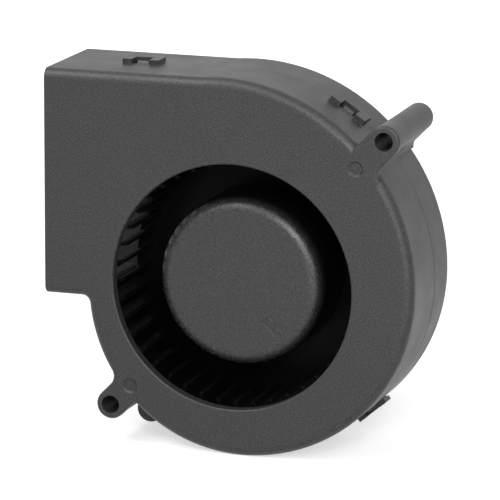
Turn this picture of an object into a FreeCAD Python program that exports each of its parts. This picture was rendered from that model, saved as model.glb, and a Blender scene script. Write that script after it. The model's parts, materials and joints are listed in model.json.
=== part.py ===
import FreeCAD, Part
import math
import os

# Centrifugal blower with a brushless outer-rotor motor, in millimetres.
# The origin is on the impeller axis in the rear mounting face.
# +Z is up and +X is to the right as seen from the inlet, which faces -Y.

Vec = FreeCAD.Vector
AXIS = Vec(0, 1, 0)

# Case
case_depth = 33.0
parting_top = (17.2, 45.0)
parting_low = (20.2, -20.0)
parting_gap_top = 0.12
parting_gap_low = 0.32
wall = 2.0
front_plate = 2.2
rear_plate = 2.0
front_round = 2.4
rear_round = 2.3
lap_wall = 1.0
lap_gap = 0.1
lap_length = 2.0

# Scroll: three arcs whose centres step up and then left, and a straight outlet duct
scroll_radius = 40.55
scroll_centre_x = 2.04
scroll_centre_z = -2.96
scroll_step_up = 4.81
scroll_step_left = 5.73
roof_drop = 0.24
duct_underside = -5.33
outlet_reach = 49.77
notch_round = 2.0
tongue_round = 1.2

# Inlet
inlet_radius = 31.4
inlet_round = 0.5
inlet_collar = 0.6
inlet_collar_width = 1.4

# Screw ears: direction from the axis, distance from the scroll wall, distance in to the gate dimple,
# tip radius, and how far the barrel leans to the tab's straight side at the rear
upper_ear = (45.33, 6.34, 10.2, 4.0, 0.65)
lower_ear = (225.63, 4.985, 7.5, 3.8, 0.0)
ear_thickness = 3.0
ear_round = 0.8
ear_sweep = 3.0
ear_sweep_inset = 0.6
barrel_draft = 0.15
barrel_rear_radius = 3.6
ear_blend = 2.2
ear_web = 2.9
web_gap = 0.15
screw_hole_radius = 2.35
dimple_radius = 2.0
dimple_floor_radius = 1.5
dimple_depth = 0.45
dimple_nub_radius = 0.6
dimple_nub_height = 0.3

# Snap catches across the parting line: direction, width of the frame, its start ahead of the seam,
# its end behind the seam
roof_catch_x = -29.0
roof_catch = (90.0, 9.6, 3.4, 2.3)
upper_catch = (55.4, 10.6, 3.4, 2.3)
lower_catch = (-49.5, 9.0, 2.8, 1.4)
catch_window_width = 4.7
catch_height = 1.25
catch_gap = 0.15
barb_width = 3.0
barb_length = 1.4
barb_height = 0.55
barb_land = 0.6

# Lead exit at the lower left of the rear housing
lead_angle = 233.4
lug_stand_off = 6.9
lug_radius = 3.5
channel_width = 4.0
channel_depth = 1.1
channel_start = 10.5
lead_slot_length = 4.0
nib_reach = 0.9
nib_length = 1.6
nib_thickness = 0.5

# Motor base
base_groove_radius = 22.5
base_groove_width = 1.0
base_groove_depth = 0.4
dust_wall_radius = 18.6
dust_wall_width = 1.0
dust_wall_height = 1.8

# Impeller
hub_radius = 21.8
hub_face_depth = 6.5
hub_round = 4.0
hub_wall = 1.4
impeller_radius = 34.4
back_disc = 1.5
back_disc_gap = 3.5
blade_count = 41
blade_width = 4.1
blade_front_depth = 4.3
blade_thickness = 0.9
blade_lean = 5.0
blade_sag = 1.3
blade_phase = 6.4
hoop_width = 1.0
hoop_length = 2.3
pocket_length = 4.8
pocket_run = 3.2
pocket_depth = 0.35
pocket_distance = 13.9
pocket_angle = -55.2
pocket_turn = 47.5

# Rotor
seat_gap = 0.02
yoke_wall = 1.0
yoke_setback = 2.0
magnet_width = 2.0
magnet_setback = 2.0
magnet_rear_step = 0.6
bush_radius = 3.0
bush_length = 3.6
shaft_radius = 1.5
shaft_end_gap = 0.6
shaft_setback = 2.6

# Ball bearings
bearing_radius = 4.0
bearing_width = 4.0
ring_step = 0.7
ball_radius = 0.79
ball_pitch_radius = 2.75
ball_count = 7
race_gap = 0.03
cage_radial = 0.6
cage_width = 2.4
pocket_gap = 0.07
shield_thickness = 0.2
shield_inset = 0.1
shield_gap = 0.1

# Bearing tube and its seat
tube_wall = 1.1
tube_shoulder = 0.6
tube_bottom = 1.5
tube_seat_wall = 2.1
tube_seat_length = 3.6
rear_bearing_depth = 3.5
tube_overhang = 1.0

# Clip and spring
spring_height = 0.5
clip_thickness = 0.4
clip_width = 1.1
clip_groove = 0.35
clip_slot = 1.8
spring_gap = 0.05
spring_land = 0.2
spring_cone = 0.4

# Stator
air_gap = 0.5
core_shortfall = 2.5
pole_count = 4
pole_width = 5.0
pole_shoe = 1.8
pole_gap = 2.0
core_hub_wall = 2.2
insulator_plate = 0.8
fence_width = 1.0
fence_height = 2.2
fence_overlap = 0.6
coil_gap = 0.2
coil_build = 1.8
coil_end_gap = 0.5
coil_round = 1.4

# Circuit board and parts
board_radius = 17.8
board_thickness = 0.8
pin_radius = 0.3
pin_hole_radius = 0.35
pin_tail = 0.5
sensor_size = (3.6, 1.6, 1.1)
sensor_angle = 22.5
chip_size = (5.0, 4.0, 1.5)
chip_angle = 60.0
capacitor_size = (3.2, 1.6, 1.6)
capacitor_angle = 150.0
diode_size = (4.0, 2.4, 2.0)
diode_angle = 320.0
board_part_radius = 12.2

# Places that follow from the sizes
far = 3 * case_depth
front_face = -case_depth
hub_face = front_face + hub_face_depth
hub_inside = hub_face + hub_wall
disc_rear = -rear_plate - back_disc_gap
disc_front = disc_rear - back_disc
yoke_radius = hub_radius - hub_wall - seat_gap
yoke_front = hub_inside
yoke_rear = disc_rear - yoke_setback
blade_inner_radius = impeller_radius - blade_width
magnet_radius = yoke_radius - yoke_wall
magnet_front = yoke_front + yoke_wall + magnet_setback
magnet_rear = yoke_rear - magnet_rear_step
bush_rear = yoke_front + bush_length
rear_bearing_front = -rear_bearing_depth - bearing_width
front_bearing_front = bush_rear + spring_height
tube_radius = bearing_radius + tube_wall
core_radius = magnet_radius - magnet_width - air_gap
core_front = magnet_front + core_shortfall
core_rear = magnet_rear - core_shortfall
core_centre = (core_front + core_rear) / 2
fence_outer = core_radius - pole_shoe + fence_overlap
fence_inner = fence_outer - fence_width
pin_circle = (fence_outer + fence_inner) / 2
board_rear = -rear_plate - tube_seat_length
board_front = board_rear - board_thickness


def polar(radius, angle, y=0.0):
    turn = math.radians(angle)
    return Vec(radius * math.cos(turn), y, radius * math.sin(turn))


def rod(radius, y_front, y_rear, centre=Vec(0, 0, 0)):
    return Part.makeCylinder(radius, y_rear - y_front, Vec(centre.x, y_front, centre.z), AXIS)


def tube(outer, inner, y_front, y_rear):
    return rod(outer, y_front, y_rear).cut(rod(inner, y_front, y_rear))


def turned(points):
    """Solid of revolution about the axis from (radius, y) points."""
    outline = Part.makePolygon([Vec(radius, y, 0) for radius, y in points + points[:1]])
    return Part.Face(outline).revolve(Vec(0, 0, 0), AXIS, 360)


def block(x_range, y_range, z_range):
    size = [high - low for low, high in (x_range, y_range, z_range)]
    return Part.makeBox(*size, Vec(x_range[0], y_range[0], z_range[0]))


def turn_to(shape, angle, origin=Vec(0, 0, 0)):
    """Places a shape drawn with its +X along the given direction, seen from the front."""
    shape.Placement = FreeCAD.Placement(origin, FreeCAD.Rotation(AXIS, -angle))
    return shape


def around(shape, count, phase=0.0):
    """Copies of a shape spaced evenly round the axis."""
    copies = []
    for index in range(count):
        copy = shape.copy()
        copy.rotate(Vec(0, 0, 0), AXIS, -(phase + 360.0 * index / count))
        copies.append(copy)
    return copies


def arc(centre, radius, start, end):
    points = [centre + polar(radius, angle) for angle in (start, (start + end) / 2, end)]
    return Part.Arc(*points).toShape()


def line(start, end):
    return Part.makeLine(start, end)


def ring_edges(shape, radius, y):
    """Circular edges of one radius about the axis in one plane."""
    found = []
    for edge in shape.Edges:
        curve = edge.Curve
        if curve.TypeId == "Part::GeomCircle" and abs(curve.Radius - radius) < 1e-4:
            if abs(curve.Center.y - y) < 1e-4:
                found.append(edge)
    return found


# Scroll outline

def scroll_arcs(inset):
    """Centres and radii of the low, side and top arcs, moved in by inset."""
    low = Vec(scroll_centre_x, 0, scroll_centre_z)
    side = low + Vec(0, 0, scroll_step_up)
    top = side - Vec(scroll_step_left, 0, 0)
    low_radius = scroll_radius - inset
    side_radius = low_radius + scroll_step_up
    top_radius = side_radius + scroll_step_left
    return (low, low_radius), (side, side_radius), (top, top_radius)


def roof_height(inset=0.0):
    (top, top_radius) = scroll_arcs(inset)[2]
    return top.z + top_radius - roof_drop


def scroll_block(inset, y_front, y_rear, past_mouth=0.0):
    """The scroll and duct as a solid block, its walls moved in by inset."""
    (low, low_radius), (side, side_radius), (top, top_radius) = scroll_arcs(inset)
    roof = roof_height(inset)
    floor = duct_underside + inset
    mouth = -outlet_reach - past_mouth
    roof_turn = 180 - math.degrees(math.asin((roof - top.z) / top_radius))
    floor_turn = -180 - math.degrees(math.asin((floor - low.z) / low_radius))
    roof_end = top + polar(top_radius, roof_turn)
    floor_end = low + polar(low_radius, floor_turn)
    edges = [
        line(Vec(mouth, 0, roof), roof_end),
        arc(top, top_radius, roof_turn, 0),
        arc(side, side_radius, 0, -90),
        arc(low, low_radius, -90, floor_turn),
        line(floor_end, Vec(mouth, 0, floor)),
        line(Vec(mouth, 0, floor), Vec(mouth, 0, roof)),
    ]
    face = Part.Face(Part.Wire(edges))
    face.translate(Vec(0, y_front, 0))
    solid = face.extrude(AXIS * (y_rear - y_front))
    corner = [edge for edge in solid.Edges if is_along_axis(edge, floor_end)]
    share = min(max(inset / wall, 0.0), 1.0)
    return solid.makeFillet(notch_round + (tongue_round - notch_round) * share, corner)


def is_along_axis(edge, place):
    return all(math.hypot(v.X - place.x, v.Z - place.z) < 1e-4 for v in edge.Vertexes)


def rim(shape, y):
    """Edges of the outline in one plane, without the edge at the outlet mouth."""
    found = []
    for edge in shape.Edges:
        flat = all(abs(v.Y - y) < 1e-4 for v in edge.Vertexes)
        mouth = all(abs(v.X + outlet_reach) < 1e-4 for v in edge.Vertexes)
        if flat and not mouth:
            found.append(edge)
    return found


def parting_at(height, gap=0.0):
    """Place along the axis of the parting line, or of the far side of its gap, at one height."""
    top_depth, top_height = parting_top
    low_depth, low_height = parting_low
    share = min(max((height - low_height) / (top_height - low_height), 0.0), 1.0)
    depth = low_depth + share * (top_depth - low_depth)
    return front_face + depth + gap * (parting_gap_low + share * (parting_gap_top - parting_gap_low))


def ahead_of_parting(shift=0.0, gap=0.0):
    """Everything in front of the parting surface, which leans from top to bottom."""
    heights = (far, parting_top[1], parting_low[1], -far)
    points = [Vec(-far, parting_at(height, gap) + shift, height) for height in heights]
    points += [Vec(-far, -far, -far), Vec(-far, -far, far)]
    return Part.Face(Part.makePolygon(points + points[:1])).extrude(Vec(2 * far, 0, 0))


def outer_body():
    body = scroll_block(0, front_face, 0)
    body = body.makeFillet(front_round, rim(body, front_face))
    return body.makeFillet(rear_round, rim(body, 0))


def air_space():
    return scroll_block(wall, front_face + front_plate, -rear_plate, 1.0)


def reach(angle, centre, radius):
    """Distance from the axis to an arc of the scroll in one direction."""
    along = polar(1, angle)
    near = along.dot(centre)
    return near + math.sqrt(near ** 2 - centre.dot(centre) + radius ** 2)


# Screw ears

def ear_places():
    """For each ear: direction, wall centre and radius, hole distance, tip radius, lean, dimple distance."""
    (low, low_radius), side, (top, top_radius) = scroll_arcs(0)
    places = []
    for ear, centre, radius in ((upper_ear, top, top_radius), (lower_ear, low, low_radius)):
        angle, stand_off, dimple_step, tip_radius, lean = ear
        hole_at = reach(angle, centre, radius) + stand_off
        across = polar(1, angle + 90)
        local = Vec(centre.dot(polar(1, angle)), 0, centre.dot(across))
        places.append((angle, local, radius, hole_at, tip_radius, lean, hole_at - dimple_step))
    return places


def sweep(wall_centre, wall_radius, blend_radius, height):
    """Centre of a fillet from a flank to the round wall, where it touches the wall, and its turn there."""
    across = height - wall_centre.z
    blend = Vec(wall_centre.x + math.sqrt((wall_radius + blend_radius) ** 2 - across ** 2), 0, height)
    touch = wall_centre + (blend - wall_centre) * (wall_radius / (wall_radius + blend_radius))
    turn = math.degrees(math.atan2(touch.z - blend.z, touch.x - blend.x)) % 360
    return blend, touch, turn


def ear_tab(wall_centre, wall_radius, hole_at, tip_radius):
    """Round-ended tab, straight on one side and swept into the wall on the other, with its tip along +X."""
    inner = wall_centre.x + wall_radius - 2 * front_round
    height = -tip_radius - ear_sweep
    blend, touch, turn = sweep(wall_centre, wall_radius - ear_sweep_inset, ear_sweep, height)
    edges = [
        line(Vec(inner, 0, tip_radius), Vec(hole_at, 0, tip_radius)),
        arc(Vec(hole_at, 0, 0), tip_radius, 90, -90),
        line(Vec(hole_at, 0, -tip_radius), Vec(blend.x, 0, -tip_radius)),
        arc(blend, ear_sweep, 90, turn),
        line(touch, Vec(inner, 0, touch.z)),
        line(Vec(inner, 0, touch.z), Vec(inner, 0, tip_radius)),
    ]
    face = Part.Face(Part.Wire(edges))
    face.translate(Vec(0, front_face, 0))
    tab = face.extrude(AXIS * ear_thickness)
    outline = []
    for edge in tab.Edges:
        flat = all(abs(v.Y - front_face) < 1e-4 for v in edge.Vertexes)
        outside = any(v.X > touch.x + 1e-4 for v in edge.Vertexes)
        if flat and outside:
            outline.append(edge)
    return tab.makeFillet(ear_round, outline)


def ear_rib(wall_centre, wall_radius, hole_at, grown=0.0):
    """Web from the scroll wall to the barrel, with fillets that run out along the wall."""
    outside = wall_radius + grown
    blend = ear_blend - grown
    web = ear_web + grown
    upper_blend, upper_touch, upper_turn = sweep(wall_centre, outside, blend, web + blend)
    lower_blend, lower_touch, lower_turn = sweep(wall_centre, outside, blend, -web - blend)
    inner = wall_centre.x + wall_radius - 2 * front_round
    corners = [Vec(hole_at, 0, web), Vec(hole_at, 0, -web)]
    edges = [
        line(Vec(inner, 0, upper_touch.z), upper_touch),
        arc(upper_blend, blend, upper_turn, 270),
        line(Vec(upper_blend.x, 0, web), corners[0]),
        line(*corners),
        line(corners[1], Vec(lower_blend.x, 0, -web)),
        arc(lower_blend, blend, 90, lower_turn),
        line(lower_touch, Vec(inner, 0, lower_touch.z)),
        line(Vec(inner, 0, lower_touch.z), Vec(inner, 0, upper_touch.z)),
    ]
    face = Part.Face(Part.Wire(edges))
    face.translate(Vec(0, front_face + front_round, 0))
    return face.extrude(AXIS * (case_depth - front_round))


def ear_barrel(hole_at, tip_radius, lean):
    """Round barrel behind the tab, whose rear end may lean to the tab's straight side."""
    front = Part.makeCircle(tip_radius - barrel_draft, Vec(hole_at, front_face + ear_round, 0), AXIS)
    rear = Part.makeCircle(barrel_rear_radius, Vec(hole_at, 0, lean), AXIS)
    return Part.makeLoft([Part.Wire(front), Part.Wire(rear)], True, True)


def screw_ear(angle, wall_centre, wall_radius, hole_at, tip_radius, lean):
    tab = ear_tab(wall_centre, wall_radius, hole_at, tip_radius)
    rib = ear_rib(wall_centre, wall_radius, hole_at)
    return turn_to(tab.fuse([rib, ear_barrel(hole_at, tip_radius, lean)]), angle)


def beyond_parting():
    """Room that the rear housing's outside takes behind the parting line."""
    return scroll_block(-web_gap, front_face, 1.0, 1.0).cut(ahead_of_parting())


def beside_ears():
    """Room round the webs and barrels of the ears, which the lead exit keeps clear of."""
    room = []
    for angle, wall_centre, wall_radius, hole_at, tip_radius, lean, dimple_at in ear_places():
        room.append(rod(tip_radius + lean + web_gap, front_face, 1, polar(hole_at, angle)))
        room.append(turn_to(ear_rib(wall_centre, wall_radius, hole_at, web_gap), angle))
    return room


# Snap catches

def catch_places():
    """Place on the wall, direction, frame width, lead and reach of each catch."""
    low, (side, side_radius), (top, top_radius) = scroll_arcs(0)
    return [
        (Vec(roof_catch_x, 0, roof_height()), *roof_catch),
        (top + polar(top_radius, upper_catch[0]), *upper_catch),
        (side + polar(side_radius, lower_catch[0]), *lower_catch),
    ]


def on_wall(shape, place, angle):
    """Places a shape drawn on a wall whose outside is +Z."""
    return turn_to(shape, angle - 90, place)


def catch_frame(place, angle, width, lead, reach_over):
    """Two guides on the cover, joined by a bar that reaches over the rear housing."""
    seam = parting_at(place.z)
    bar_front = seam + parting_gap_low
    start = seam - lead
    end = seam + reach_over
    half = width / 2
    inner = catch_window_width / 2
    pieces = [block((-half, half), (bar_front, end), (catch_gap, catch_height))]
    for side in (-1, 1):
        edges = sorted((side * half, side * inner))
        pieces.append(block(edges, (start, seam), (-lap_wall / 2, catch_height)))
        pieces.append(block(edges, (start, end), (catch_gap, catch_height)))
    return on_wall(pieces[0].fuse(pieces[1:]).removeSplitter(), place, angle)


def catch_window(place, angle):
    """Notch in the edge of the cover that the barb stands in."""
    seam = parting_at(place.z)
    half = catch_window_width / 2
    notch = block((-half, half), (seam - lap_length - lap_gap, seam + 1), (-lap_wall - lap_gap, 1))
    return on_wall(notch, place, angle)


def catch_barb(place, angle):
    """Ramped tooth on the lip of the rear housing."""
    front = parting_at(place.z) - lap_length + lap_gap
    root = -lap_wall - lap_gap - wall / 4
    half = barb_width / 2
    section = [
        Vec(-half, front, root),
        Vec(-half, front, -lap_wall / 2),
        Vec(-half, front + barb_length - barb_land, barb_height),
        Vec(-half, front + barb_length, barb_height),
        Vec(-half, front + barb_length, root),
    ]
    barb = Part.Face(Part.makePolygon(section + section[:1])).extrude(Vec(barb_width, 0, 0))
    return on_wall(barb, place, angle)


# Case mouldings

def gate_dimple(centre):
    """Dished recess round the small nub of a moulding gate."""
    rim = centre + Vec(0, front_face, 0)
    dish = Part.makeCone(dimple_radius, dimple_floor_radius, dimple_depth, rim, AXIS)
    floor = front_face + dimple_depth
    return dish.cut(rod(dimple_nub_radius, floor - dimple_nub_height, floor + 1, centre))


def make_front_cover():
    body = outer_body().common(ahead_of_parting())
    collar_rear = front_face + front_plate + inlet_collar
    collar = rod(inlet_radius + inlet_collar_width, front_face + front_plate - 0.1, collar_rear)
    places = ear_places()
    catches = catch_places()
    ears = [screw_ear(*place[:-1]).cut(beyond_parting()) for place in places]
    frames = [catch_frame(*catch) for catch in catches]
    lap = scroll_block(lap_wall, front_face, 1.0, 1.0).cut(ahead_of_parting(-lap_length))
    windows = [catch_window(*catch[:2]) for catch in catches]
    body = body.fuse(ears).cut(windows).fuse(frames)
    body = body.cut(air_space()).cut(lap).fuse(collar)
    body = body.cut(rod(inlet_radius, front_face - 1, collar_rear + 1)).removeSplitter()
    body = body.makeFillet(inlet_round, ring_edges(body, inlet_radius, front_face))
    for angle, wall_centre, wall_radius, hole_at, tip_radius, lean, dimple_at in places:
        body = body.cut(rod(screw_hole_radius, front_face - 1, 1, polar(hole_at, angle)))
        body = body.cut(gate_dimple(polar(dimple_at, angle)))
    return body


def lug_place():
    """Distance of the scroll wall and of the lug from the axis in the leads' direction."""
    low, low_radius = scroll_arcs(0)[0]
    wall_at = reach(lead_angle, low, low_radius)
    return wall_at, wall_at + lug_stand_off


def lead_exit():
    """Lug outside the scroll wall that the motor leads pass through."""
    wall_at, lug_at = lug_place()
    front = parting_at(polar(lug_at, lead_angle).z, 1)
    lug = rod(lug_radius, front, 0, Vec(lug_at, 0, 0))
    neck = block((wall_at - wall / 2, lug_at), (front, 0), (-lug_radius, lug_radius))
    return turn_to(lug.fuse(neck), lead_angle).cut(beside_ears())


def lead_channel():
    """Groove across the rear face from the motor to the lug, with its way through the plate."""
    half = channel_width / 2
    channel_end = lug_place()[1] + lug_radius + 1
    groove = block((channel_start, channel_end), (-channel_depth, 1), (-half, half))
    slot = block((channel_start, channel_start + lead_slot_length), (-rear_plate - 1, 1), (-half, half))
    return turn_to(groove.fuse(slot), lead_angle)


def lead_nibs():
    """Small lips that hold the leads in the groove."""
    nibs = []
    half = channel_width / 2
    for start in (hub_radius + nib_length * 2, lug_place()[1] - nib_length / 2):
        for side in (-1, 1):
            edges = sorted((side * (half + 0.2), side * (half - nib_reach)))
            nib = block((start, start + nib_length), (-nib_thickness, 0), edges)
            nibs.append(turn_to(nib, lead_angle))
    return nibs


def make_rear_housing():
    body = outer_body().cut(ahead_of_parting(gap=1))
    lip = scroll_block(lap_wall + lap_gap, front_face, 0).cut(ahead_of_parting(-lap_length))
    lip = lip.common(ahead_of_parting(wall))
    body = body.fuse([lip, lead_exit()]).cut(air_space())
    barbs = [catch_barb(*catch[:2]).cut(air_space()) for catch in catch_places()]
    seat = rod(tube_radius + tube_seat_wall, board_rear, -rear_plate + 0.1)
    dust_front = -rear_plate - dust_wall_height
    dust_wall = tube(dust_wall_radius + dust_wall_width, dust_wall_radius, dust_front, -rear_plate + 0.1)
    body = body.fuse(barbs + [seat, dust_wall])
    body = body.cut(rod(tube_radius + seat_gap, board_rear - 1, -tube_bottom))
    groove = tube(base_groove_radius + base_groove_width, base_groove_radius, -base_groove_depth, 1)
    body = body.cut([groove, lead_channel()])
    return body.fuse(lead_nibs()).removeSplitter()


# Impeller

def blade():
    """One forward-curved blade, hollow side towards the rotation."""
    inner = blade_inner_radius
    outer = impeller_radius - hoop_width / 2
    middle = (inner + outer) / 2
    faces = []
    for side in (-1, 1):
        points = []
        for radius, angle in ((inner, 0), (middle, blade_lean / 2 - blade_sag), (outer, blade_lean)):
            half_angle = math.degrees(blade_thickness / 2 / radius)
            points.append(polar(radius, angle + side * half_angle))
        faces.append(points)
    back, front = faces
    edges = [
        Part.Arc(*back).toShape(),
        line(back[2], front[2]),
        Part.Arc(*reversed(front)).toShape(),
        line(front[0], back[0]),
    ]
    face = Part.Face(Part.Wire(edges))
    blade_front = front_face + blade_front_depth
    face.translate(Vec(0, blade_front, 0))
    return face.extrude(AXIS * (disc_front + back_disc / 2 - blade_front))


def hub_pocket():
    """Shallow ramp in the hub face, deepest along its straight edge."""
    half = pocket_length / 2
    section = [
        Vec(0, hub_face - 1, -half),
        Vec(0, hub_face + pocket_depth, -half),
        Vec(pocket_run, hub_face, -half),
        Vec(pocket_run, hub_face - 1, -half),
    ]
    ramp = Part.Face(Part.makePolygon(section + section[:1])).extrude(Vec(0, 0, pocket_length))
    return turn_to(ramp, pocket_turn, polar(pocket_distance, pocket_angle))


def make_impeller():
    bore = yoke_radius + seat_gap
    hub = turned([
        (0, hub_face), (hub_radius, hub_face), (hub_radius, disc_front), (impeller_radius, disc_front),
        (impeller_radius, disc_rear), (bore, disc_rear), (bore, hub_inside), (0, hub_inside),
    ])
    hub = hub.makeFillet(hub_round, ring_edges(hub, hub_radius, hub_face))
    hub = hub.makeFillet(hub_round - hub_wall, ring_edges(hub, bore, hub_inside))
    blade_front = front_face + blade_front_depth
    hoop = tube(impeller_radius, impeller_radius - hoop_width, blade_front, blade_front + hoop_length)
    body = hub.fuse([hoop] + around(blade(), blade_count, blade_phase))
    return body.cut(hub_pocket()).removeSplitter()


# Rotor

def make_rotor_yoke():
    cup = rod(yoke_radius, yoke_front, yoke_rear)
    corner = hub_round - hub_wall
    cup = cup.makeFillet(corner, ring_edges(cup, yoke_radius, yoke_front))
    hollow = rod(magnet_radius, yoke_front + yoke_wall, yoke_rear + 1)
    hollow = hollow.makeFillet(corner - yoke_wall, ring_edges(hollow, magnet_radius, yoke_front + yoke_wall))
    return cup.cut(hollow).cut(rod(bush_radius, yoke_front - 1, yoke_front + yoke_wall + 1))


def make_rotor_magnet():
    outer = magnet_radius - seat_gap
    return tube(outer, magnet_radius - magnet_width, magnet_front, magnet_rear)


def make_rotor_bush():
    return tube(bush_radius, shaft_radius, yoke_front, bush_rear)


def make_shaft():
    shaft = rod(shaft_radius, yoke_front, -shaft_setback)
    groove_front = -rear_bearing_depth
    groove = tube(shaft_radius + 1, shaft_radius - clip_groove, groove_front, groove_front + clip_thickness)
    shaft = shaft.cut(groove)
    ends = ring_edges(shaft, shaft_radius, -shaft_setback)
    return shaft.makeChamfer(clip_groove / 2, ends)


def make_retaining_clip():
    front = -rear_bearing_depth
    inner = shaft_radius - clip_groove + seat_gap
    ring = tube(inner + clip_width, inner, front, front + clip_thickness)
    slot = block((0, inner + 2 * clip_width), (front - 1, 0), (-clip_slot / 2, clip_slot / 2))
    return ring.cut(turn_to(slot, -90))


def make_preload_spring():
    """Coned spring washer between the bush and the inner ring of the front bearing."""
    inner = shaft_radius + spring_gap
    land = spring_land
    return turned([
        (inner, bush_rear),
        (inner + land, bush_rear),
        (inner + land + spring_cone, front_bearing_front),
        (inner + spring_cone, front_bearing_front),
    ])


# Ball bearings

def raceway(middle):
    """Ring-shaped room that the balls run in."""
    return Part.makeTorus(ball_pitch_radius, ball_radius + race_gap, Vec(0, middle, 0), AXIS)


def bearing_parts(front):
    """The five pieces of one ball bearing whose front face is at the given place."""
    middle = front + bearing_width / 2
    rear = front + bearing_width
    outer_bore = bearing_radius - ring_step
    inner_land = shaft_radius + ring_step
    outer_ring = tube(bearing_radius - seat_gap, outer_bore, front, rear).cut(raceway(middle))
    inner_ring = tube(inner_land, shaft_radius, front, rear).cut(raceway(middle))
    start = Part.makeSphere(ball_radius, Vec(ball_pitch_radius, middle, 0))
    balls = Part.makeCompound(around(start, ball_count))
    cage_inner = ball_pitch_radius - cage_radial / 2
    pocket = ball_radius + pocket_gap
    room = Part.makeCylinder(pocket, bearing_radius, Vec(shaft_radius, middle, 0), Vec(1, 0, 0))
    cage = tube(cage_inner + cage_radial, cage_inner, middle - cage_width / 2, middle + cage_width / 2)
    cage = cage.cut(around(room, ball_count))
    shields = []
    for edge in (front + shield_inset, rear - shield_inset - shield_thickness):
        shields.append(tube(outer_bore, inner_land + shield_gap, edge, edge + shield_thickness))
    return {
        "outer_ring": outer_ring,
        "inner_ring": inner_ring,
        "balls": balls,
        "cage": cage,
        "shields": Part.makeCompound(shields),
    }


def make_bearing_tube():
    front = front_bearing_front - tube_overhang
    body = tube(tube_radius, bearing_radius - tube_shoulder, front, -tube_bottom)
    body = body.cut(rod(bearing_radius, front - 1, front_bearing_front + bearing_width))
    return body.cut(rod(bearing_radius, rear_bearing_front, 0))


# Stator

def make_stator_core():
    hub = rod(tube_radius + core_hub_wall, core_front, core_rear)
    half = pole_width / 2
    arm = block((0, core_radius - pole_shoe / 2), (core_front, core_rear), (-half, half))
    shoes = tube(core_radius, core_radius - pole_shoe, core_front, core_rear)
    slot = block((0, core_radius + 1), (core_front - 1, core_rear + 1), (-pole_gap / 2, pole_gap / 2))
    shoes = shoes.cut(around(slot, pole_count, 180.0 / pole_count))
    core = hub.fuse(around(arm, pole_count) + [shoes])
    return core.cut(rod(tube_radius + seat_gap, core_front - 1, core_rear + 1)).removeSplitter()


def make_insulator(core_face, outward):
    """Spider under the coils with a fence that keeps the windings off the magnet."""
    plate = sorted((core_face, core_face + outward * insulator_plate))
    fence = sorted((core_face, core_face + outward * fence_height))
    half = pole_width / 2
    arm = block((0, fence_outer - fence_width / 2), plate, (-half, half))
    hub = rod(tube_radius + core_hub_wall, *plate)
    ring = tube(fence_outer, fence_inner, *fence)
    body = hub.fuse(around(arm, pole_count) + [ring])
    return body.cut(rod(tube_radius + seat_gap, plate[0] - 1, plate[1] + 1)).removeSplitter()


def coils():
    arm_half = pole_width / 2 + coil_gap
    arm_height = (core_rear - core_front) / 2 + insulator_plate + coil_gap
    height = arm_height + coil_build
    side = arm_half + coil_build
    outer_end = math.sqrt((fence_inner - coil_gap) ** 2 - side ** 2)
    radial = (tube_radius + core_hub_wall + coil_end_gap, outer_end)
    winding = block(radial, (core_centre - height, core_centre + height), (-side, side))
    along = [e for e in winding.Edges if abs(e.Vertexes[0].X - e.Vertexes[1].X) > 1]
    winding = winding.makeFillet(coil_round, along)
    hole = block((0, far), (core_centre - arm_height, core_centre + arm_height), (-arm_half, arm_half))
    return around(winding.cut(hole), pole_count)


# Circuit board

def pin_places():
    return [polar(pin_circle, 45 + 90 * index) for index in range(pole_count)]


def make_terminal_pins():
    front = core_rear + fence_height
    pins = [rod(pin_radius, front, board_rear + pin_tail, place) for place in pin_places()]
    return Part.makeCompound(pins)


def make_circuit_board():
    board = tube(board_radius, tube_radius + seat_gap, board_front, board_rear)
    holes = [rod(pin_hole_radius, board_front - 1, board_rear + 1, place) for place in pin_places()]
    return board.cut(holes)


def board_part(size, angle, distance, y_front):
    tangent, radial, height = size
    x_range = (distance - radial / 2, distance + radial / 2)
    part = block(x_range, (y_front, y_front + height), (-tangent / 2, tangent / 2))
    return turn_to(part, angle)


def board_parts():
    sensor_distance = fence_outer + sensor_size[1] / 2 + seat_gap
    return {
        "hall_sensor": board_part(sensor_size, sensor_angle, sensor_distance, board_front - sensor_size[2]),
        "driver_chip": board_part(chip_size, chip_angle, board_part_radius, board_rear),
        "filter_capacitor": board_part(capacitor_size, capacitor_angle, board_part_radius, board_rear),
        "protection_diode": board_part(diode_size, diode_angle, board_part_radius, board_rear),
    }


def all_parts():
    parts = {
        "front_cover": make_front_cover(),
        "rear_housing": make_rear_housing(),
        "impeller": make_impeller(),
        "rotor_yoke": make_rotor_yoke(),
        "rotor_magnet": make_rotor_magnet(),
        "rotor_bush": make_rotor_bush(),
        "shaft": make_shaft(),
        "retaining_clip": make_retaining_clip(),
        "preload_spring": make_preload_spring(),
        "bearing_tube": make_bearing_tube(),
        "stator_core": make_stator_core(),
        "front_insulator": make_insulator(core_front, -1),
        "rear_insulator": make_insulator(core_rear, 1),
        "terminal_pins": make_terminal_pins(),
        "circuit_board": make_circuit_board(),
    }
    for name, front in (("front", front_bearing_front), ("rear", rear_bearing_front)):
        for piece, shape in bearing_parts(front).items():
            parts[name + "_bearing_" + piece] = shape
    for index, coil in enumerate(coils()):
        parts["coil_" + str(index + 1)] = coil
    parts.update(board_parts())
    return parts


def main():
    os.makedirs("parts", exist_ok=True)
    for name, shape in all_parts().items():
        shape.exportStep("parts/" + name + ".step")
        print(name, len(shape.Solids), "solid(s)", round(shape.Volume, 1), "mm3", shape.isValid())


main()
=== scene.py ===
import bpy
import json
import math
from mathutils import Matrix, Vector


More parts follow.
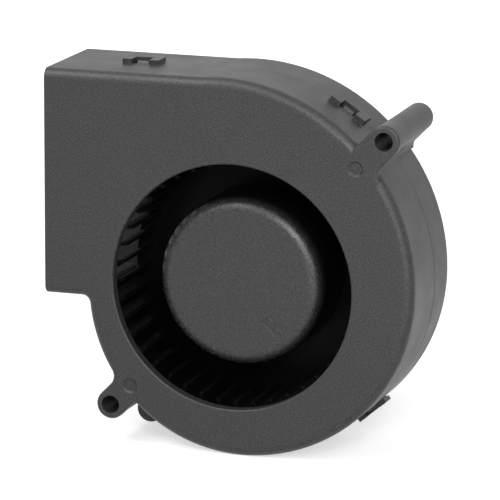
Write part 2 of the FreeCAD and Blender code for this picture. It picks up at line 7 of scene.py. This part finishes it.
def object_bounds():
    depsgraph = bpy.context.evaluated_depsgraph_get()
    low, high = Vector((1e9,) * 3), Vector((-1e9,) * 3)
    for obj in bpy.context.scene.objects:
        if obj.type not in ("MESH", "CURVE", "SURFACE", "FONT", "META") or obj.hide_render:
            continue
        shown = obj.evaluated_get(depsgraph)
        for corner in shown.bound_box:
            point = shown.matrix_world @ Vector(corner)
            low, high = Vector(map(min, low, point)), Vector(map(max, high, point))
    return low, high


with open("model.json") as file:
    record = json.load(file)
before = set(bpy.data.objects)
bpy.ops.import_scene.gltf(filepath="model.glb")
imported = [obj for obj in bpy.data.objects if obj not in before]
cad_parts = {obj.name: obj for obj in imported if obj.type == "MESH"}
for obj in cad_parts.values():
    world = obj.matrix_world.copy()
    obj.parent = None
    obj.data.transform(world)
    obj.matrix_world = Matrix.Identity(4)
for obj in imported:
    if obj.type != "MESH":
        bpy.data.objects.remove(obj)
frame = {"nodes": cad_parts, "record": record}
cad_box = [list(corner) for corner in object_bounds()]
front_level = cad_box[0][1]
floor_level = cad_box[0][2]

# Camera: metres, degrees and pixels of the 500 x 500 frame
picture_size = 500
camera_turn = 18.59
camera_rise = 12.78
camera_roll = -0.27
camera_distance = 0.9785
focal_pixels = 3917.0
aim_pixels = (-19.33, 38.27)
aim_point = Vector((0, -0.033, 0))
sensor_width = 36
nearest = 0.05
farthest = 20

# Black plastic of the case and the impeller: linear colours, metres
case_color = (0.026, 0.026, 0.0268)
cap_color = (0.030, 0.030, 0.0309)
# The blade colour is a painted shade: the disc, hoop and blades deep in the inlet are made far darker than
# the cap of the same plastic
blade_painted_shade_color = (0.0045, 0.0045, 0.0046)
case_roughness = 0.43
cap_roughness = 0.27
blade_roughness = 0.20
plastic_gloss = 0.45
speckle = 0.8
grain_size = 0.00034
grain_height = 0.00008
flow_size = 0.011
flow_change = (-0.04, 0.05)
polish_size = 0.0015
polish_change = (-0.03, 0.03)
polish_shade = 0.8
edge_round = 0.00012
blade_round = 0.00025

# Share of the gloss that the polished disc and blades keep: a painted shade that dulls their reflections
# deep in the inlet
painted_shade_gloss_share = 0.07
# The cap's finish fades out between two radii and ends at a depth behind the case's front; beyond these the
# impeller carries painted shade, near-black and dull
painted_shade_fade = (0.0199, 0.0220)
painted_shade_depth = 0.0115

# Metals: slot, name, linear colour, roughness, size of the tool marks
metals = [
    ("yoke_steel", "zinc_plated_cup", (0.55, 0.55, 0.53), 0.35, 0.0006),
    ("bush_brass", "brass", (0.72, 0.54, 0.28), 0.28, 0.0006),
    ("shaft_steel", "ground_steel", (0.60, 0.60, 0.61), 0.16, 0.0002),
    ("clip_steel", "spring_steel", (0.42, 0.42, 0.43), 0.3, 0.0006),
    ("bearing_steel", "polished_steel", (0.66, 0.66, 0.67), 0.14, 0.0002),
    ("cage_steel", "pressed_steel", (0.60, 0.60, 0.60), 0.26, 0.0006),
    ("pin_metal", "tinned_pins", (0.70, 0.70, 0.68), 0.25, 0.0002),
]
metal_shade = 0.88
metal_change = (-0.05, 0.08)
metal_relief = 0.000004

# Pressed, fired or laminated stuff: slot, name, linear colour, roughness, grain size, relief
matt_solids = [
    ("magnet", "bonded_magnet", (0.055, 0.053, 0.055), 0.6, 0.0003, 0.00001),
    ("insulator_plastic", "pale_nylon", (0.62, 0.60, 0.52), 0.5, 0.0005, 0.000006),
    ("board_laminate", "green_laminate", (0.03, 0.16, 0.06), 0.35, 0.0009, 0.000004),
    ("chip_plastic", "moulded_package", (0.03, 0.03, 0.03), 0.45, 0.0002, 0.000005),
    ("capacitor_ceramic", "fired_ceramic", (0.42, 0.30, 0.20), 0.4, 0.0003, 0.000004),
]
matt_shade = 0.8
matt_change = (-0.06, 0.06)

# Stacked sheets and wound wire: slot, name, linear colour, roughness, spacing, metallic, relief
striped_solids = [
    ("core_steel", "stacked_sheets", (0.34, 0.34, 0.36), 0.45, 0.0005, 1.0, 0.00004),
    ("coil_copper", "enamelled_wire", (0.62, 0.25, 0.10), 0.3, 0.00035, 0.85, 0.00008),
]
stripe_shade = 0.6
stripe_waver = 0.4
# Period of the wave texture at scale one
wave_period = 0.314

# Noise: detail of a soft, a fine and a coarse grain, and the part of its range that is spread out
soft_detail = 2.0
fine_detail = 3.0
coarse_detail = 5.0
noise_range = (0.3, 0.7)
bevel_samples = 8

# Panels that face the object: name, turn from +X to +Y, rise, side, brightness beside plain white
panel_distance = 0.85
raised_panels = [
    ("key", -68, 24, 0.22, 20.7),
    ("right_front", -50, 8, 0.20, 4.0),
    ("top_front", -115, 38, 0.24, 5.4),
    ("top_back", -134, 56, 0.32, 9.9),
    ("top_right", -42, 44, 0.24, 6.8),
]
# Panels that lie just above the floor: name, turn, distance, side, brightness
panel_lift = 0.001
floor_panels = [
    ("front_right", -60, 0.25, 0.18, 1.6),
    ("back_right", 45, 0.15, 0.11, 0.3),
]
surround_strength = 0.2

# Floor: its own white glow is weak near the object, so that the shadow stays, and full beyond it
floor_half = 3.0
floor_color = (0.8, 0.8, 0.8)
floor_roughness = (0.75, 0.85)
floor_grain = 0.02
floor_glow_reach = (0.15, 0.60)
floor_glow_strength = (0.6, 1.0)


def nodes_of(material):
    material.use_nodes = True
    tree = material.node_tree
    return tree.nodes, tree.links, tree.nodes["Principled BSDF"]


def node(nodes, kind, **settings):
    made = nodes.new(kind)
    for name, value in settings.items():
        setattr(made, name, value)
    return made


def fill(links, socket, value):
    """Links a socket to another one, or sets it to a plain number or colour."""
    if isinstance(value, bpy.types.NodeSocket):
        links.new(value, socket)
    elif isinstance(value, (int, float)):
        socket.default_value = value
    else:
        socket.default_value = (*value, 1)


def calculate(nodes, links, operation, first, second=0):
    made = node(nodes, "ShaderNodeMath", operation=operation)
    fill(links, made.inputs[0], first)
    fill(links, made.inputs[1], second)
    return made.outputs[0]


def ramp(nodes, links, value, source, target, kind="LINEAR"):
    """Maps one range onto another and holds both ends."""
    made = node(nodes, "ShaderNodeMapRange", interpolation_type=kind)
    for name, number in zip(("From Min", "From Max", "To Min", "To Max"), (*source, *target)):
        made.inputs[name].default_value = number
    links.new(value, made.inputs["Value"])
    return made.outputs["Result"]


def around(nodes, links, noisy, middle, change):
    """Spreads noise over a range beside a middle value."""
    return ramp(nodes, links, noisy, noise_range, (middle + change[0], middle + change[1]))


def noise(nodes, links, size, detail):
    """Noise in object space whose features are about the given size in metres."""
    place = nodes.new("ShaderNodeTexCoord")
    made = nodes.new("ShaderNodeTexNoise")
    made.inputs["Scale"].default_value = 1.0 / size
    made.inputs["Detail"].default_value = detail
    links.new(place.outputs["Object"], made.inputs["Vector"])
    return made.outputs["Fac"]


def blend(nodes, links, factor, first, second):
    """Mix of two colours, each a socket or three numbers."""
    made = node(nodes, "ShaderNodeMix", data_type="RGBA")
    fill(links, made.inputs["Factor"], factor)
    fill(links, made.inputs["A"], first)
    fill(links, made.inputs["B"], second)
    return made.outputs["Result"]


def scaled(color, share):
    return [share * value for value in color]


def speckled(nodes, links, grain, color):
    spots = ramp(nodes, links, grain, noise_range, (0, 1))
    return blend(nodes, links, spots, scaled(color, 1 - speckle), scaled(color, 1 + speckle))


def soft_edges(nodes, radius):
    made = node(nodes, "ShaderNodeBevel", samples=bevel_samples)
    made.inputs["Radius"].default_value = radius
    return made.outputs["Normal"]


def emboss(nodes, links, shader, height, relief, edge=None):
    """Gives a shader a fine relief, over slightly rounded edges where a radius is given."""
    made = nodes.new("ShaderNodeBump")
    made.inputs["Strength"].default_value = 1.0
    made.inputs["Distance"].default_value = relief
    links.new(height, made.inputs["Height"])
    if edge:
        links.new(soft_edges(nodes, edge), made.inputs["Normal"])
    links.new(made.outputs["Normal"], shader.inputs["Normal"])


def case_plastic():
    """Black plastic from a spark-eroded mould: fine grain and faint flow marks."""
    material = bpy.data.materials.new("case_black")
    nodes, links, shader = nodes_of(material)
    flow = noise(nodes, links, flow_size, soft_detail)
    grain = noise(nodes, links, grain_size, fine_detail)
    links.new(speckled(nodes, links, grain, case_color), shader.inputs["Base Color"])
    links.new(around(nodes, links, flow, case_roughness, flow_change), shader.inputs["Roughness"])
    shader.inputs["Specular IOR Level"].default_value = plastic_gloss
    emboss(nodes, links, shader, grain, grain_height, edge_round)
    return material


def mask_out_painted_shade(nodes, links):
    """One on the grained cap of the hub and nought on the polished disc, hoop, blades and the hub's side
    behind a depth; the nought parts carry the painted shade of the deep inlet, which fades in toward the
    cap's rim.
    """
    place = nodes.new("ShaderNodeTexCoord")
    split = nodes.new("ShaderNodeSeparateXYZ")
    links.new(place.outputs["Object"], split.inputs[0])
    x, y, z = (split.outputs[axis] for axis in "XYZ")
    across = calculate(nodes, links, "MULTIPLY", x, x)
    along = calculate(nodes, links, "MULTIPLY", z, z)
    radius = calculate(nodes, links, "SQRT", calculate(nodes, links, "ADD", across, along))
    # Painted shade: the cap's colour fades to the near-black of the deep parts toward its rim and behind
    # the given depth
    clear_of_rim_shade = ramp(nodes, links, radius, painted_shade_fade, (1, 0), "SMOOTHSTEP")
    clear_of_deep_shade = calculate(nodes, links, "LESS_THAN", y, front_level + painted_shade_depth)
    return calculate(nodes, links, "MULTIPLY", clear_of_rim_shade, clear_of_deep_shade)


def impeller_plastic():
    """Black plastic with a grained hub cap; the disc and blades come from a polished mould and carry
    painted shade: a far darker colour and duller gloss deep in the inlet.
    """
    material = bpy.data.materials.new("impeller_black")
    nodes, links, shader = nodes_of(material)
    unshaded_cap = mask_out_painted_shade(nodes, links)
    grain = noise(nodes, links, grain_size, fine_detail)
    marks = noise(nodes, links, polish_size, soft_detail)
    grained = speckled(nodes, links, grain, cap_color)
    # Painted shade: the polished disc and blades get the near-black colour
    painted_shade_polished = blend(nodes, links, marks, scaled(blade_painted_shade_color, polish_shade), blade_painted_shade_color)
    links.new(blend(nodes, links, unshaded_cap, painted_shade_polished, grained), shader.inputs["Base Color"])
    blade_finish = around(nodes, links, marks, blade_roughness, polish_change)
    cap_finish = calculate(nodes, links, "MULTIPLY", unshaded_cap, cap_roughness - blade_roughness)
    links.new(calculate(nodes, links, "ADD", blade_finish, cap_finish), shader.inputs["Roughness"])
    # Painted shade: a dark specular tint dulls the reflections of the deep disc and blades
    painted_shade_tint = (painted_shade_gloss_share, painted_shade_gloss_share, painted_shade_gloss_share)
    links.new(blend(nodes, links, unshaded_cap, painted_shade_tint, (1, 1, 1)), shader.inputs["Specular Tint"])
    shader.inputs["Specular IOR Level"].default_value = plastic_gloss
    emboss(nodes, links, shader, calculate(nodes, links, "MULTIPLY", grain, unshaded_cap), grain_height, blade_round)
    return material


def bare_metal(name, color, roughness, mark_size):
    """Turned or stamped metal with fine tool marks."""
    material = bpy.data.materials.new(name)
    nodes, links, shader = nodes_of(material)
    marks = noise(nodes, links, mark_size, fine_detail)
    links.new(blend(nodes, links, marks, scaled(color, metal_shade), color), shader.inputs["Base Color"])
    links.new(around(nodes, links, marks, roughness, metal_change), shader.inputs["Roughness"])
    shader.inputs["Metallic"].default_value = 1.0
    emboss(nodes, links, shader, marks, metal_relief, edge_round)
    return material


def matt_solid(name, color, roughness, size, relief):
    material = bpy.data.materials.new(name)
    nodes, links, shader = nodes_of(material)
    grain = noise(nodes, links, size, coarse_detail)
    links.new(blend(nodes, links, grain, scaled(color, matt_shade), color), shader.inputs["Base Color"])
    links.new(around(nodes, links, grain, roughness, matt_change), shader.inputs["Roughness"])
    emboss(nodes, links, shader, grain, relief, edge_round)
    return material


def striped(name, color, roughness, spacing, metallic, relief):
    """Lines across the axis."""
    material = bpy.data.materials.new(name)
    nodes, links, shader = nodes_of(material)
    place = nodes.new("ShaderNodeTexCoord")
    wave = node(nodes, "ShaderNodeTexWave", wave_type="BANDS", bands_direction="Y")
    wave.inputs["Scale"].default_value = wave_period / spacing
    wave.inputs["Distortion"].default_value = stripe_waver
    links.new(place.outputs["Object"], wave.inputs["Vector"])
    lines = wave.outputs["Fac"]
    links.new(blend(nodes, links, lines, scaled(color, stripe_shade), color), shader.inputs["Base Color"])
    shader.inputs["Roughness"].default_value = roughness
    shader.inputs["Metallic"].default_value = metallic
    emboss(nodes, links, shader, lines, relief)
    return material


def make_materials():
    materials = {"case_plastic": case_plastic(), "impeller_plastic": impeller_plastic()}
    for make, rows in ((bare_metal, metals), (matt_solid, matt_solids), (striped, striped_solids)):
        for slot, *values in rows:
            materials[slot] = make(*values)
    return materials


def dress_nodes():
    materials = make_materials()
    for part in frame["record"]["subparts"]:
        piece = frame["nodes"][part["node"]]
        for slot in piece.material_slots:
            slot.material = materials[part["material_slot"]]


def make_camera():
    turn, rise, roll = (math.radians(angle) for angle in (camera_turn, camera_rise, camera_roll))
    right = Vector((math.cos(turn), math.sin(turn), 0))
    back = Vector((math.sin(turn) * math.cos(rise), -math.cos(turn) * math.cos(rise), math.sin(rise)))
    up = back.cross(right)
    rolled_right = math.cos(roll) * right - math.sin(roll) * up
    rolled_up = math.sin(roll) * right + math.cos(roll) * up
    metres_per_pixel = camera_distance / focal_pixels
    place = aim_point + camera_distance * back
    place -= aim_pixels[0] * metres_per_pixel * rolled_right
    place += aim_pixels[1] * metres_per_pixel * rolled_up
    data = bpy.data.cameras.new("camera")
    data.sensor_width = sensor_width
    data.lens = focal_pixels / picture_size * sensor_width
    data.clip_start = nearest
    data.clip_end = farthest
    camera = bpy.data.objects.new("camera", data)
    axes = Matrix((rolled_right, rolled_up, back)).transposed().to_4x4()
    camera.matrix_world = Matrix.Translation(place) @ axes
    bpy.context.scene.collection.objects.link(camera)
    bpy.context.scene.camera = camera


def direction(turn, rise=0):
    turn = math.radians(turn)
    rise = math.radians(rise)
    return Vector((math.cos(rise) * math.cos(turn), math.cos(rise) * math.sin(turn), math.sin(rise)))


def make_panel(name, place, facing, side, brightness):
    data = bpy.data.lights.new(name, "AREA")
    data.shape = "SQUARE"
    data.size = side
    data.energy = math.pi * side * side * brightness
    panel = bpy.data.objects.new(name, data)
    panel.location = place
    panel.rotation_euler = facing.to_track_quat("-Z", "Y").to_euler()
    panel.visible_camera = False
    bpy.context.scene.collection.objects.link(panel)


def make_lights():
    for name, turn, rise, side, brightness in raised_panels:
        way = direction(turn, rise)
        make_panel(name, panel_distance * way, -way, side, brightness)
    up = Vector((0, 0, 1))
    for name, turn, distance, side, brightness in floor_panels:
        place = distance * direction(turn) + (floor_level + panel_lift) * up
        make_panel(name, place, up, side, brightness)


def white_light(nodes, kind, strength):
    white = nodes.new(kind)
    white.inputs["Color"].default_value = (1, 1, 1, 1)
    white.inputs["Strength"].default_value = strength
    return white.outputs[0]


def mix_shaders(nodes, links, factor, first, second):
    mix = nodes.new("ShaderNodeMixShader")
    for socket, value in zip(mix.inputs, (factor, first, second)):
        links.new(value, socket)
    return mix.outputs[0]


def white_background(nodes, links, kind, seen, other):
    """One shader as seen directly, plain white in a gloss or through glass, another one for other light."""
    rays = nodes.new("ShaderNodeLightPath").outputs
    direct = mix_shaders(nodes, links, rays["Is Camera Ray"], other, seen)
    mirrored = calculate(nodes, links, "MAXIMUM", rays["Is Glossy Ray"], rays["Is Transmission Ray"])
    return mix_shaders(nodes, links, mirrored, direct, white_light(nodes, kind, 1))


def lit_floor(nodes, links, surface):
    """The floor's lit surface and its own glow together."""
    place = nodes.new("ShaderNodeTexCoord")
    away = node(nodes, "ShaderNodeVectorMath", operation="LENGTH")
    links.new(place.outputs["Object"], away.inputs[0])
    strength = ramp(nodes, links, away.outputs["Value"], floor_glow_reach, floor_glow_strength)
    glow = nodes.new("ShaderNodeEmission")
    links.new(strength, glow.inputs["Strength"])
    both = nodes.new("ShaderNodeAddShader")
    links.new(glow.outputs[0], both.inputs[0])
    links.new(surface, both.inputs[1])
    return both.outputs[0]


def make_floor():
    material = bpy.data.materials.new("pale_floor")
    nodes, links, shader = nodes_of(material)
    grain = noise(nodes, links, floor_grain, fine_detail)
    shader.inputs["Base Color"].default_value = (*floor_color, 1)
    links.new(ramp(nodes, links, grain, noise_range, floor_roughness), shader.inputs["Roughness"])
    surface = shader.outputs[0]
    lit = lit_floor(nodes, links, surface)
    background = white_background(nodes, links, "ShaderNodeEmission", lit, surface)
    links.new(background, nodes["Material Output"].inputs["Surface"])
    mesh = bpy.data.meshes.new("floor")
    signs = ((-1, -1), (1, -1), (1, 1), (-1, 1))
    mesh.from_pydata([(x * floor_half, y * floor_half, floor_level) for x, y in signs], [], [(0, 1, 2, 3)])
    mesh.materials.append(material)
    floor = bpy.data.objects.new("floor", mesh)
    bpy.context.scene.collection.objects.link(floor)


def make_surround():
    world = bpy.data.worlds.new("studio")
    world.use_nodes = True
    nodes, links = world.node_tree.nodes, world.node_tree.links
    nodes.clear()
    kind = "ShaderNodeBackground"
    seen = white_light(nodes, kind, 1)
    other = white_light(nodes, kind, surround_strength)
    output = nodes.new("ShaderNodeOutputWorld")
    links.new(white_background(nodes, links, kind, seen, other), output.inputs["Surface"])
    bpy.context.scene.world = world


make_camera()
make_lights()
make_floor()
make_surround()
dress_nodes()
bpy.context.scene.view_settings.view_transform = "Standard"
